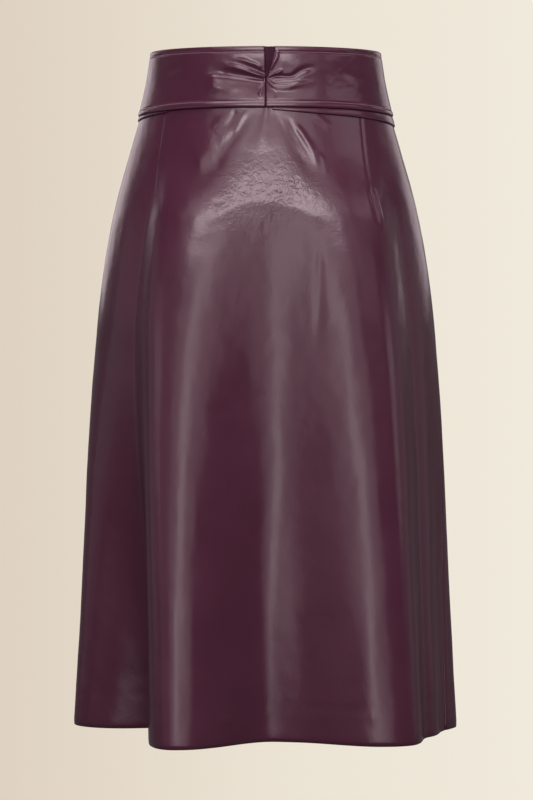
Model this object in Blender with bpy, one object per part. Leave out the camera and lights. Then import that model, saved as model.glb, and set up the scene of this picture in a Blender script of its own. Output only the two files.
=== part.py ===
"""High-waisted A-line midi skirt in coated leather, open and hollow as it hangs when worn.

Metres, +Z up. The origin is the centre of the waist, half-way up the waistband. +Y is the
back of the skirt and +X the wearer's left. Each cut piece of cloth is one closed wall.

Every piece lies on one form. A level section of the form is a pair of half-ellipses, deeper
at the back than at the front, and hanging folds push it in and out along its own normal.
An angle round the form is in degrees from the centre back, positive towards the wearer's left.
"""

import math
from collections import namedtuple

import bmesh
import bpy
from mathutils import Vector

# ---- Driving sizes -------------------------------------------------------------------
WAISTBAND_TOP = 0.037
WAISTBAND_BOTTOM = -0.030        # at the centre back
WAISTBAND_SIDE_DROP = 0.0045     # how much lower the bottom edge runs at the side seams
PANEL_TOP = -0.021               # the panels' upper edge, tucked up behind the waistband
HEM = -0.720

PANEL_WALL = 0.0015
WAISTBAND_WALL = 0.0020
STRIP_WALL = 0.0010
UNDERLAP_WALL = 0.0012
SEAM_GAP = 0.0003
LAYER_GAP = 0.0006               # between a panel and what lies on it, clear of its facets

PINCH_HEIGHT = 0.002             # the waistband's centre back seam is drawn in at this height
PINCH_DEPTH = 0.0045
PINCH_REACH = 0.026              # round the waist
PINCH_RISE = 0.014               # up and down

UNDERLAP_HALF_WIDTH = 0.016
UNDERLAP_BOTTOM = -0.015

LEATHER_COLOUR = (0.069, 0.021, 0.034, 1.0)
UNDERLAP_COLOUR = (0.045, 0.014, 0.024, 1.0)

# ---- The form: one row for each level section, from the top down ---------------------
Section = namedtuple("Section", "z half_width back_depth front_depth")
SECTIONS = [
    Section(0.037, 0.1262, 0.098, 0.094),
    Section(0.000, 0.1322, 0.103, 0.098),
    Section(-0.034, 0.1402, 0.110, 0.104),
    Section(-0.075, 0.1519, 0.121, 0.111),
    Section(-0.129, 0.1671, 0.133, 0.119),
    Section(-0.183, 0.1779, 0.139, 0.125),
    Section(-0.243, 0.1865, 0.141, 0.130),
    Section(-0.318, 0.1934, 0.141, 0.134),
    Section(-0.412, 0.1993, 0.140, 0.139),
    Section(-0.555, 0.2053, 0.140, 0.146),
    Section(-0.720, 0.2140, 0.140, 0.154),
]

# ---- The folds: one row for each crest or hollow, in order of angle ------------------
# The depth is at the hem, positive for a crest. Each fold deepens from its start down, as the
# growth power of the way to the hem, and eases in over the first part of that way.
Fold = namedtuple("Fold", "name top_angle hem_angle hem_depth start_z growth")
FOLDS = [
    Fold("front_right_hollow", -157.0, -157.0, -0.020, -0.240, 1.35),
    Fold("front_right_crest", -132.0, -130.0, 0.020, -0.220, 1.35),
    Fold("right_side_hollow", -112.0, -113.0, -0.014, -0.260, 1.35),
    Fold("right_side_crest", -88.0, -90.0, 0.002, -0.200, 1.35),
    Fold("right_side_dip", -72.0, -73.0, -0.007, -0.220, 1.35),
    Fold("right_back_ridge", -60.0, -56.0, 0.004, -0.086, 1.35),
    Fold("right_back_crest", -37.0, -40.0, 0.037, -0.060, 0.55),
    Fold("centre_back_hollow", -2.3, -2.8, -0.031, -0.094, 0.95),
    Fold("left_back_crest", 37.0, 25.6, 0.0425, -0.060, 0.55),
    Fold("left_deep_hollow", 50.0, 54.0, -0.085, -0.230, 1.35),
    Fold("left_side_crest", 92.0, 99.0, 0.006, -0.230, 1.35),
    Fold("front_left_hollow", 124.0, 122.0, -0.020, -0.260, 1.35),
    Fold("front_left_crest", 150.0, 148.0, 0.020, -0.220, 1.35),
    Fold("centre_front_hollow", 172.0, 172.0, 0.002, -0.240, 1.35),
]
FOLD_ONSET = 0.14                # the part of the way to the hem over which a fold eases in
ROW_CROWDING = 1.5               # the panels' rows lie closer together towards the waist

# ---- Seams: the angle of a seam at the waist and at the hem --------------------------
Seam = namedtuple("Seam", "waist_angle hem_angle")
LEFT_SIDE = Seam(90.0, 98.0)
RIGHT_SIDE = Seam(-88.0, -76.0)

# ---- The slit above the pinch: how far each waistband edge stands from the seam ------
Slit = namedtuple("Slit", "z left right")
SLIT = [
    Slit(PINCH_HEIGHT, 0.0, 0.0),
    Slit(0.006, 0.0001, 0.0022),
    Slit(0.014, 0.0002, 0.0043),
    Slit(0.021, 0.0003, 0.0063),
    Slit(0.030, 0.0005, 0.0088),
    Slit(WAISTBAND_TOP, 0.0010, 0.0094),
]

# ---- The folded strip under the waistband: its height at each angle ------------------
Strip = namedtuple("Strip", "angle height")
RIGHT_STRIP = [Strip(-88.0, 0.0112), Strip(-70.0, 0.0092), Strip(-24.0, 0.0058), Strip(-3.0, 0.0022)]
LEFT_STRIP = [Strip(50.0, 0.0012), Strip(72.0, 0.0034), Strip(90.0, 0.0050)]
FRONT_STRIP = [Strip(90.0, 0.0050), Strip(180.0, 0.0080), Strip(272.0, 0.0112)]

MESH_STEP = 1e-4                 # step used to measure the form's slope


def blend_table(rows, key, value, at):
    """Reads one column of a table at a place between its rows, on a smooth cubic."""
    places = [getattr(row, key) for row in rows]
    values = [getattr(row, value) for row in rows]
    if places[0] > places[-1]:
        places.reverse()
        values.reverse()
    at = min(max(at, places[0]), places[-1])
    last = len(places) - 1
    i = max(k for k in range(last) if places[k] <= at or k == 0)
    span = places[i + 1] - places[i]
    rise = (values[i + 1] - values[i]) / span
    before = (values[i] - values[i - 1]) / (places[i] - places[i - 1]) if i > 0 else rise
    after = (values[i + 2] - values[i + 1]) / (places[i + 2] - places[i + 1]) if i + 2 <= last else rise
    slope_0 = (before + rise) / 2
    slope_1 = (rise + after) / 2
    s = (at - places[i]) / span
    return (
        values[i] * (1 + 2 * s) * (1 - s) ** 2
        + slope_0 * span * s * (1 - s) ** 2
        + values[i + 1] * s * s * (3 - 2 * s)
        - slope_1 * span * s * s * (1 - s)
    )


def fold_at(fold, z):
    """The angle and the depth of one fold at a height."""
    down = min(max((z - fold.start_z) / (HEM - fold.start_z), 0.0), 1.0)
    along = min(max((z - PANEL_TOP) / (HEM - PANEL_TOP), 0.0), 1.0)
    angle = fold.top_angle + (fold.hem_angle - fold.top_angle) * along
    onset = min(down / FOLD_ONSET, 1.0)
    return angle, fold.hem_depth * down ** fold.growth * onset * onset * (3 - 2 * onset)


def fold_depth(angle, z):
    """How far the folds push the form out at an angle and a height."""
    marks = [fold_at(fold, z) for fold in FOLDS]
    marks = [(marks[-1][0] - 360.0, marks[-1][1])] + marks + [(marks[0][0] + 360.0, marks[0][1])]
    turn = (angle - marks[0][0]) % 360.0 + marks[0][0]
    for (angle_0, depth_0), (angle_1, depth_1) in zip(marks, marks[1:]):
        if turn <= angle_1:
            share = 0.5 - 0.5 * math.cos(math.pi * (turn - angle_0) / (angle_1 - angle_0))
            return depth_0 + (depth_1 - depth_0) * share
    return marks[-1][1]


def pinch_depth(angle, z, half_width):
    """How far the centre back of the waist is drawn in."""
    across = math.radians(angle) * half_width / PINCH_REACH
    up = (z - PINCH_HEIGHT) / PINCH_RISE
    return PINCH_DEPTH * math.exp(-abs(across) ** 1.5 - up * up)


def form_point(angle, z):
    """A point on the form."""
    half_width = blend_table(SECTIONS, "z", "half_width", z)
    back = math.cos(math.radians(angle)) > 0
    depth = blend_table(SECTIONS, "z", "back_depth" if back else "front_depth", z)
    sine, cosine = math.sin(math.radians(angle)), math.cos(math.radians(angle))
    normal = Vector((sine / half_width, cosine / depth, 0.0)).normalized()
    push = fold_depth(angle, z)
    if abs(angle) < 90.0:
        push -= pinch_depth(angle, z, half_width)
    return Vector((half_width * sine, depth * cosine, z)) + normal * push


def form_normal(angle, z):
    """The outward normal of the form."""
    turn = math.degrees(MESH_STEP / 0.1)
    round_it = form_point(angle + turn, z) - form_point(angle - turn, z)
    up_it = form_point(angle, z + MESH_STEP) - form_point(angle, z - MESH_STEP)
    return up_it.cross(round_it).normalized()


def seam_angle(seam, z):
    """The angle of a seam at a height."""
    along = min(max((z - PANEL_TOP) / (HEM - PANEL_TOP), 0.0), 1.0)
    return seam.waist_angle + (seam.hem_angle - seam.waist_angle) * along


def even_angles(z, first, last, columns, first_gap, last_gap):
    """Angles that space columns evenly along the cloth, short of each seam by its gap."""
    samples = 8 * columns
    angles = [first + (last - first) * i / samples for i in range(samples + 1)]
    points = [form_point(angle, z) for angle in angles]
    lengths = [0.0]
    for point_0, point_1 in zip(points, points[1:]):
        lengths.append(lengths[-1] + (point_1 - point_0).length)
    start, end = first_gap, lengths[-1] - last_gap
    result = []
    k = 0
    for column in range(columns + 1):
        target = start + (end - start) * column / columns
        while k < samples - 1 and lengths[k + 1] < target:
            k += 1
        share = (target - lengths[k]) / (lengths[k + 1] - lengths[k])
        result.append(angles[k] + (angles[k + 1] - angles[k]) * share)
    return result


def leather(name, colour, roughness):
    """A coated-leather finish."""
    material = bpy.data.materials.new(name)
    material.use_nodes = True
    shader = material.node_tree.nodes["Principled BSDF"]
    shader.inputs["Base Color"].default_value = colour
    shader.inputs["Roughness"].default_value = roughness
    shader.inputs["Metallic"].default_value = 0.0
    material.diffuse_color = colour
    return material


def cloth_wall(name, place, columns, rows, lift, wall, material):
    """One cut piece as a closed wall.

    place(column, row) gives the angle and the height of a grid corner. The wall's outer
    side stands off the form by lift, and its inner side is one wall thickness further in.
    """
    mesh = bpy.data.meshes.new(name)
    slab = bmesh.new()
    bmesh.ops.create_grid(slab, x_segments=columns, y_segments=rows, size=1.0)
    pushed = bmesh.ops.extrude_face_region(slab, geom=slab.faces[:])["geom"]
    inner = [item for item in pushed if isinstance(item, bmesh.types.BMVert)]
    bmesh.ops.translate(slab, verts=inner, vec=(0.0, 0.0, -1.0))
    spots = {}
    for corner in slab.verts:
        column = round((corner.co.x + 1.0) / 2.0 * columns)
        row = round((corner.co.y + 1.0) / 2.0 * rows)
        if (column, row) not in spots:
            angle, z = place(column, row)
            spots[column, row] = form_point(angle, z), form_normal(angle, z)
        point, normal = spots[column, row]
        corner.co = point + normal * (lift + wall * corner.co.z)
    bmesh.ops.recalc_face_normals(slab, faces=slab.faces[:])
    if slab.calc_volume(signed=True) < 0:
        bmesh.ops.reverse_faces(slab, faces=slab.faces[:])
    slab.to_mesh(mesh)
    slab.free()
    mesh.shade_smooth()
    mesh.set_sharp_from_angle(angle=math.radians(50.0))
    piece = bpy.data.objects.new(name, mesh)
    piece.data.materials.append(material)
    bpy.context.collection.objects.link(piece)
    return piece


def add_panel(name, first, last, columns, rows, material):
    """A skirt panel from its upper edge to the hem, between two seams."""
    grid = []
    for row in range(rows + 1):
        z = PANEL_TOP + (HEM - PANEL_TOP) * (1 - row / rows) ** ROW_CROWDING
        angles = even_angles(z, first(z), last(z), columns, SEAM_GAP / 2, SEAM_GAP / 2)
        grid.append([(angle, z) for angle in angles])
    return cloth_wall(name, lambda c, r: grid[r][c], columns, rows, 0.0, PANEL_WALL, material)


def band_bottom(angle):
    """The height of the waistband's lower edge at an angle."""
    return WAISTBAND_BOTTOM - WAISTBAND_SIDE_DROP * math.sin(math.radians(angle)) ** 4


def slit_edge(side, z):
    """How far a waistband edge stands from the centre back at a height."""
    return blend_table(SLIT, "z", side, z) if z > PINCH_HEIGHT else 0.0


def add_waistband(name, first, last, columns, rows, first_slit, last_slit, material):
    """A waistband piece between two seams, with a slit edge where it meets the centre back."""
    grid = []
    for row in range(rows + 1):
        level = row / rows
        z = WAISTBAND_BOTTOM + (WAISTBAND_TOP - WAISTBAND_BOTTOM) * level
        gaps = [SEAM_GAP / 2 + (slit_edge(side, z) if side else 0.0) for side in (first_slit, last_slit)]
        angles = even_angles(z, first, last, columns, gaps[0], gaps[1])
        grid.append([(a, WAISTBAND_TOP + (band_bottom(a) - WAISTBAND_TOP) * (1 - level)) for a in angles])
    lift = LAYER_GAP + WAISTBAND_WALL
    return cloth_wall(name, lambda c, r: grid[r][c], columns, rows, lift, WAISTBAND_WALL, material)


def add_strip(name, table, columns, material):
    """A stretch of the narrow folded strip that shows under the waistband's lower edge."""
    first, last = table[0].angle, table[-1].angle
    angles = even_angles(WAISTBAND_BOTTOM, first, last, columns, SEAM_GAP / 2, SEAM_GAP / 2)
    lift = LAYER_GAP + STRIP_WALL

    def place(column, row):
        angle = angles[column]
        top = band_bottom(angle) - SEAM_GAP
        return angle, top - blend_table(table, "angle", "height", angle) * (1 - row)

    return cloth_wall(name, place, columns, 1, lift, STRIP_WALL, material)


def add_underlap(name, columns, rows, material):
    """The flap that backs the slit at the centre back of the waistband."""

    def place(column, row):
        z = UNDERLAP_BOTTOM + (WAISTBAND_TOP - SEAM_GAP - UNDERLAP_BOTTOM) * row / rows
        half_width = blend_table(SECTIONS, "z", "half_width", z)
        across = UNDERLAP_HALF_WIDTH * (2 * column / columns - 1)
        return math.degrees(across / half_width), z

    return cloth_wall(name, place, columns, rows, 0.0, UNDERLAP_WALL, material)


def build():
    """Makes every cut piece of the skirt."""
    for old in list(bpy.data.objects):
        bpy.data.objects.remove(old)
    shell = leather("plum_coated_leather", LEATHER_COLOUR, 0.35)
    shade = leather("underlap_leather", UNDERLAP_COLOUR, 0.45)

    def left(z):
        return seam_angle(LEFT_SIDE, z)

    def right(z):
        return seam_angle(RIGHT_SIDE, z)

    def right_from_front(z):
        return seam_angle(RIGHT_SIDE, z) + 360.0

    add_panel("back", right, left, 42, 24, shell)
    add_panel("front", left, right_from_front, 30, 20, shell)

    left_waist = LEFT_SIDE.waist_angle
    right_waist = RIGHT_SIDE.waist_angle
    add_waistband("waistband_back_left", 0.0, left_waist, 14, 6, "left", None, shell)
    add_waistband("waistband_back_right", right_waist, 0.0, 14, 6, None, "right", shell)
    add_waistband("waistband_front", left_waist, right_waist + 360.0, 22, 3, None, None, shell)

    add_strip("strip_back_left", LEFT_STRIP, 8, shell)
    add_strip("strip_back_right", RIGHT_STRIP, 14, shell)
    add_strip("strip_front", FRONT_STRIP, 22, shell)
    add_underlap("back_underlap", 4, 6, shade)


build()
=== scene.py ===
"""Leather skirt with a high waistband: the fine visual model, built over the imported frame.

Metres, +Z up. +Y is the back of the skirt, +X the wearer's left, and the waist is level with
z = 0. Every piece of cloth is a thin shell that lies on one form: a pair of half-ellipses at
each height, pushed in and out by the hanging folds. An angle round the form is in degrees from
the centre back, positive towards the wearer's left. Creases are drawn on the flat cloth, as
distances round the cloth and heights, in millimetres, and lift or sink the shell's surface.
"""

import logging
import math
from collections.abc import Callable
from dataclasses import dataclass
from enum import Enum

import bmesh
import bpy
import numpy as np
from mathutils import Matrix, Vector, noise


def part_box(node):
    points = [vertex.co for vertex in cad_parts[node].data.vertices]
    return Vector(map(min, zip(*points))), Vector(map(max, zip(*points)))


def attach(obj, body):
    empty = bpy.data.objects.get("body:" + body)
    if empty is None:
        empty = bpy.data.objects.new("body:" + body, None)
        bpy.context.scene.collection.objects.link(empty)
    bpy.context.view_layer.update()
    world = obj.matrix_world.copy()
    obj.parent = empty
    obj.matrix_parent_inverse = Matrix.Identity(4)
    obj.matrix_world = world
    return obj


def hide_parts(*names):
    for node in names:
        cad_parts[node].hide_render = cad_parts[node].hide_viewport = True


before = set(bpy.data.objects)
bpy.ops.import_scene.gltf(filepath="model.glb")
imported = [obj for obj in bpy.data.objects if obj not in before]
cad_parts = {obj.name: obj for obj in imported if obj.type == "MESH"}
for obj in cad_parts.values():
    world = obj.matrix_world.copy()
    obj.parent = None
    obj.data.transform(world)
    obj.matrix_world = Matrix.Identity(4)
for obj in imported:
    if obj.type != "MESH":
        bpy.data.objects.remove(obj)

MM = 0.001
CENTRE_BACK = 0.0
CENTRE_FRONT = 180.0
FULL_TURN = 360.0
SMALLEST_CUT = 10.0 * MM             # a sheet is declared at least this wide and this long
LEAST_AREA_SHARE = 0.31              # and with at least this share of its width times its length
AREA_LIGHT_SHARE = 4.0               # an area light's power is this times its area and radiance
BODY = "root"

log = logging.getLogger("leather_skirt")


# ---- Small helpers -------------------------------------------------------------------


def linear(hex_colour: str, alpha: float = 1.0) -> tuple[float, float, float, float]:
    """Turns an sRGB hex colour to linear light.

    Args:
        hex_colour: six hex digits, such as "4a2a38".
        alpha: the fourth value of the result.

    Returns:
        Linear red, green, blue and alpha.
    """
    channels = [int(hex_colour[i:i + 2], 16) / 255.0 for i in (0, 2, 4)]
    low = 0.04045
    red, green, blue = (c / 12.92 if c <= low else ((c + 0.055) / 1.055) ** 2.4 for c in channels)
    return red, green, blue, alpha


def add_node(
    tree: bpy.types.NodeTree,
    kind: str,
    settings: dict[str, object] | None = None,
    links: dict[str, bpy.types.NodeSocket] | None = None,
) -> bpy.types.Node:
    """Adds a node with its settings and the links into it.

    Args:
        tree: the node tree to add to.
        kind: the node's type name.
        settings: values for the node's own properties or, failing that, its input sockets.
        links: output sockets to join to the node's inputs, by input name or number.

    Returns:
        The new node.
    """
    node = tree.nodes.new(kind)
    for name, value in (settings or {}).items():
        if name in node.inputs:
            node.inputs[name].default_value = value
        else:
            setattr(node, name, value)
    for name, socket in (links or {}).items():
        place = int(name) if name.isdigit() else name
        tree.links.new(socket, node.inputs[place])
    return node


def new_material(
    name: str,
) -> tuple[bpy.types.Material, bpy.types.NodeTree, bpy.types.NodeSocket]:
    """Makes an empty node material.

    Args:
        name: the material's name.

    Returns:
        The material, its node tree and its Object coordinates.
    """
    material = bpy.data.materials.new(name)
    material.use_nodes = True
    tree = material.node_tree
    tree.nodes.clear()
    return material, tree, add_node(tree, "ShaderNodeTexCoord").outputs["Object"]


def add_shader(
    tree: bpy.types.NodeTree,
    kind: str,
    settings: dict[str, object],
    links: dict[str, bpy.types.NodeSocket],
) -> None:
    """Adds a material's shader and joins it to the material's output.

    Args:
        tree: the node tree to add to.
        kind: the shader's type name.
        settings: values for its input sockets.
        links: output sockets to join to its inputs.
    """
    shader = add_node(tree, kind, settings, links)
    add_node(tree, "ShaderNodeOutputMaterial", links={"Surface": shader.outputs[0]})


def add_object(name: str, data: bpy.types.ID) -> bpy.types.Object:
    """Adds an object at the origin, to show this mesh, light or camera."""
    made = bpy.data.objects.new(name, data)
    bpy.context.collection.objects.link(made)
    return made


def smooth_step(share: np.ndarray) -> np.ndarray:
    """Eases a share from 0 to 1, flat at both ends."""
    share = np.clip(share, 0.0, 1.0)
    return share * share * (3.0 - 2.0 * share)


def unevenness(across: np.ndarray, height: np.ndarray, size: float, seed: float) -> np.ndarray:
    """Reads smooth noise over the flat cloth.

    Args:
        across: distances round the cloth, in metres.
        height: heights, in metres.
        size: the size of the noise's lumps, in metres.
        seed: which noise.

    Returns:
        Values from about -1 to 1.
    """
    flat = [
        noise.noise(Vector((u / size, h / size, seed)))
        for u, h in zip(across.ravel().tolist(), height.ravel().tolist())
    ]
    return np.array(flat).reshape(across.shape)


@dataclass(frozen=True)
class Lumps:
    """Soft lumps in the cloth, with their depth and size in millimetres.

    The squeeze is how much wider than tall they are, and less than 1 where they are taller.
    """

    depth: float
    size: float
    seed: float
    squeeze: float = 1.0

    def relief(self, across: np.ndarray, height: np.ndarray) -> np.ndarray:
        """Returns how far the lumps move the cloth outwards at these places, in metres."""
        lumps = unevenness(across, height * self.squeeze, self.size * MM, self.seed)
        return self.depth * MM * lumps


# ---- The form that the cloth lies on -------------------------------------------------


@dataclass(frozen=True)
class Section:
    """One level section of the form.

    The half width and the depths behind and before the waist's centre are in metres.
    """

    height: float
    half_width: float
    back_depth: float
    front_depth: float


@dataclass(frozen=True)
class Fold:
    """One crest or hollow that hangs down the skirt.

    Its depth is at the hem, positive for a crest. It deepens from its start down, as the growth
    power of the way to the hem.
    """

    name: str
    top_angle: float
    hem_angle: float
    hem_depth: float
    start: float
    growth: float = 1.35


@dataclass(frozen=True)
class Seam:
    """The angle of a seam at the waist and at the hem."""

    waist_angle: float
    hem_angle: float


@dataclass(frozen=True)
class ClothGrid:
    """The corners of one cut piece, as arrays with a row for each level, from the bottom up.

    angle is in degrees; height, across (the distance round the cloth from the piece's own
    zero), from_first and from_last (the distances to its two seams) are in metres.
    """

    angle: np.ndarray
    height: np.ndarray
    across: np.ndarray
    from_first: np.ndarray
    from_last: np.ndarray


def blend_rows(places: np.ndarray, values: np.ndarray, at: np.ndarray) -> np.ndarray:
    """Reads a table at places between its rows, on a smooth cubic.

    Args:
        places: the rows' places, rising.
        values: the rows' values.
        at: where to read.

    Returns:
        The values there.
    """
    at = np.clip(at, places[0], places[-1])
    last = len(places) - 2
    i = np.clip(np.searchsorted(places, at, side="right") - 1, 0, last)
    spans = np.diff(places)
    rises = np.diff(values) / spans
    span, rise = spans[i], rises[i]
    slope_0 = (rises[np.maximum(i - 1, 0)] + rise) / 2
    slope_1 = (rise + rises[np.minimum(i + 1, last)]) / 2
    s = (at - places[i]) / span
    return (
        values[i] * (1 + 2 * s) * (1 - s) ** 2
        + slope_0 * span * s * (1 - s) ** 2
        + values[i + 1] * s * s * (3 - 2 * s)
        - slope_1 * span * s * s * (1 - s)
    )


@dataclass(frozen=True)
class SkirtForm:
    """The surface that every piece of the skirt lies on."""

    panel_top: float
    hem: float
    pinch_height: float = 2.0 * MM
    pinch_depth: float = 4.5 * MM
    pinch_reach: float = 26.0 * MM
    pinch_rise: float = 14.0 * MM
    fold_onset: float = 0.14         # the share of its way over which a fold eases in
    samples: int = 1400              # how many points measure the way round a level
    sections: tuple[Section, ...] = (
        Section(-0.720, 0.2140, 0.140, 0.154),
        Section(-0.555, 0.2053, 0.140, 0.146),
        Section(-0.412, 0.1993, 0.140, 0.139),
        Section(-0.318, 0.1934, 0.141, 0.134),
        Section(-0.243, 0.1865, 0.141, 0.130),
        Section(-0.183, 0.1779, 0.139, 0.125),
        Section(-0.129, 0.1671, 0.133, 0.119),
        Section(-0.075, 0.1519, 0.121, 0.111),
        Section(-0.034, 0.1402, 0.110, 0.104),
        Section(0.000, 0.1322, 0.103, 0.098),
        Section(0.037, 0.1262, 0.098, 0.094),
    )
    folds: tuple[Fold, ...] = (
        Fold("front_right_hollow", -157.0, -157.0, -0.020, -0.240),
        Fold("front_right_crest", -132.0, -130.0, 0.020, -0.220),
        Fold("right_side_hollow", -112.0, -113.0, -0.014, -0.260),
        Fold("right_side_crest", -88.0, -90.0, 0.002, -0.200),
        Fold("right_side_dip", -72.0, -73.0, -0.007, -0.220),
        Fold("right_back_ridge", -60.0, -56.0, 0.004, -0.086),
        Fold("right_back_crest", -37.0, -40.0, 0.037, -0.060, 0.55),
        Fold("centre_back_hollow", -2.3, -2.8, -0.031, -0.094, 0.95),
        Fold("left_back_crest", 37.0, 25.6, 0.0425, -0.060, 0.55),
        Fold("left_deep_hollow", 50.0, 54.0, -0.085, -0.230),
        Fold("left_side_crest", 92.0, 99.0, 0.006, -0.230),
        Fold("front_left_hollow", 124.0, 122.0, -0.020, -0.260),
        Fold("front_left_crest", 150.0, 148.0, 0.020, -0.220),
        Fold("centre_front_hollow", 172.0, 172.0, 0.002, -0.240),
    )

    def column(self, name: str) -> np.ndarray:
        """Returns one column of the sections' table."""
        return np.array([getattr(section, name) for section in self.sections])

    def down_cloth(self, height: np.ndarray) -> np.ndarray:
        """Returns how far down the panels a height is, from 0 at their top to 1 at the hem."""
        return np.clip((height - self.panel_top) / (self.hem - self.panel_top), 0.0, 1.0)

    def fold_depth(self, angle: np.ndarray, height: np.ndarray) -> np.ndarray:
        """Works out how far the hanging folds push the form out.

        Args:
            angle: angles round the form, in degrees.
            height: heights, in metres.

        Returns:
            Depths in metres, positive outwards.
        """
        down = self.down_cloth(height)
        angles = [f.top_angle + (f.hem_angle - f.top_angle) * down for f in self.folds]
        grown = [np.clip((height - f.start) / (self.hem - f.start), 0.0, 1.0) for f in self.folds]
        depths = [
            f.hem_depth * g ** f.growth * smooth_step(g / self.fold_onset)
            for f, g in zip(self.folds, grown)
        ]
        angles = [angles[-1] - FULL_TURN] + angles + [angles[0] + FULL_TURN]
        depths = [depths[-1]] + depths + [depths[0]]
        turn = (angle - angles[0]) % FULL_TURN + angles[0]
        result = np.zeros_like(turn)
        for i in range(len(angles) - 1):
            share = (turn - angles[i]) / (angles[i + 1] - angles[i])
            eased = 0.5 - 0.5 * np.cos(math.pi * np.clip(share, 0.0, 1.0))
            inside = (share >= 0.0) & (share <= 1.0)
            result = np.where(inside, depths[i] + (depths[i + 1] - depths[i]) * eased, result)
        return result

    def point(self, angle: np.ndarray, height: np.ndarray) -> np.ndarray:
        """Works out points on the form.

        Args:
            angle: angles round the form, in degrees.
            height: heights, in metres.

        Returns:
            An array of points, with x, y and z last.
        """
        angle, height = np.broadcast_arrays(np.asarray(angle, float), np.asarray(height, float))
        places = self.column("height")
        half_width = blend_rows(places, self.column("half_width"), height)
        back = blend_rows(places, self.column("back_depth"), height)
        front = blend_rows(places, self.column("front_depth"), height)
        sine, cosine = np.sin(np.radians(angle)), np.cos(np.radians(angle))
        depth = np.where(cosine > 0.0, back, front)
        way = np.stack([sine / half_width, cosine / depth], axis=-1)
        way /= np.linalg.norm(way, axis=-1, keepdims=True)
        round_it = np.abs(np.radians(angle) * half_width / self.pinch_reach) ** 1.5
        up_it = ((height - self.pinch_height) / self.pinch_rise) ** 2
        pinch = np.where(np.abs(angle) < 90.0, self.pinch_depth * np.exp(-round_it - up_it), 0.0)
        push = self.fold_depth(angle, height) - pinch
        x = half_width * sine + way[..., 0] * push
        y = depth * cosine + way[..., 1] * push
        return np.stack([x, y, height], axis=-1)

    def normal(self, angle: np.ndarray, height: np.ndarray) -> np.ndarray:
        """Works out the outward normals of the form.

        Args:
            angle: angles round the form, in degrees.
            height: heights, in metres.

        Returns:
            An array of unit vectors.
        """
        turn, rise = 0.06, 0.1 * MM
        round_it = self.point(angle + turn, height) - self.point(angle - turn, height)
        up_it = self.point(angle, height + rise) - self.point(angle, height - rise)
        normal = np.cross(up_it, round_it)
        return normal / np.linalg.norm(normal, axis=-1, keepdims=True)

    def seam_angle(self, seam: Seam, height: float) -> float:
        """Returns the angle of a seam at a height."""
        down = float(self.down_cloth(np.array(height)))
        return seam.waist_angle + (seam.hem_angle - seam.waist_angle) * down

    def level(
        self, height: float, first: float, last: float, zero: float,
    ) -> tuple[np.ndarray, np.ndarray]:
        """Measures the cloth round one level.

        Args:
            height: the level, in metres.
            first: the angle that the measuring starts at.
            last: the angle that it ends at.
            zero: the angle that distances are measured from.

        Returns:
            Finely spaced angles, and their distances round the cloth from zero.
        """
        angles = np.linspace(first, last, self.samples)
        points = self.point(angles, np.full_like(angles, height))
        steps = np.linalg.norm(np.diff(points, axis=0), axis=1)
        lengths = np.concatenate([[0.0], np.cumsum(steps)])
        return angles, lengths - np.interp(zero, angles, lengths)

    def grid(
        self,
        heights: np.ndarray,
        first: Callable[[float], float],
        last: Callable[[float], float],
        columns: int,
        gaps: Callable[[float], tuple[float, float]],
        zero: float,
    ) -> ClothGrid:
        """Lays a grid of corners on the form, evenly spaced round each level.

        Args:
            heights: the levels, from the bottom up.
            first: gives the angle of the first seam at a height.
            last: gives the angle of the last seam at a height.
            columns: how many faces round the piece.
            gaps: gives how far the piece stops short of each seam at a height.
            zero: the angle that distances round the cloth are measured from.

        Returns:
            The grid.
        """
        angle = np.zeros((len(heights), columns + 1))
        across = np.zeros_like(angle)
        from_first = np.zeros_like(angle)
        for row, height in enumerate(heights):
            angles, lengths = self.level(height, first(height), last(height), zero)
            first_gap, last_gap = gaps(height)
            even = np.linspace(lengths[0] + first_gap, lengths[-1] - last_gap, columns + 1)
            angle[row] = np.interp(even, lengths, angles)
            across[row] = even
            from_first[row] = even - even[0]
        from_last = from_first[:, -1:] - from_first
        height = np.repeat(np.asarray(heights, float)[:, None], columns + 1, axis=1)
        return ClothGrid(angle, height, across, from_first, from_last)


# ---- Creases -------------------------------------------------------------------------


class Profile(Enum):
    """The shape of a crease across its route."""

    RIDGE = "ridge"
    TROUGH = "trough"
    LAP = "lap"


def smooth_route(points: np.ndarray, steps: int) -> np.ndarray:
    """Rounds a route of points with a Catmull-Rom spline.

    Args:
        points: the route's own points, one row each.
        steps: how many short runs replace each run of the route.

    Returns:
        The rounded route.
    """
    if len(points) < 3:
        return points
    ends = np.vstack([2 * points[0] - points[1], points, 2 * points[-1] - points[-2]])
    s = np.linspace(0.0, 1.0, steps, endpoint=False)[:, None]
    runs = []
    for p0, p1, p2, p3 in zip(ends, ends[1:], ends[2:], ends[3:]):
        bend = (2 * p0 - 5 * p1 + 4 * p2 - p3) * s ** 2 + (3 * p1 - p0 - 3 * p2 + p3) * s ** 3
        runs.append(0.5 * (2 * p1 + (p2 - p0) * s + bend))
    return np.vstack(runs + [points[-1:]])


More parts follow.
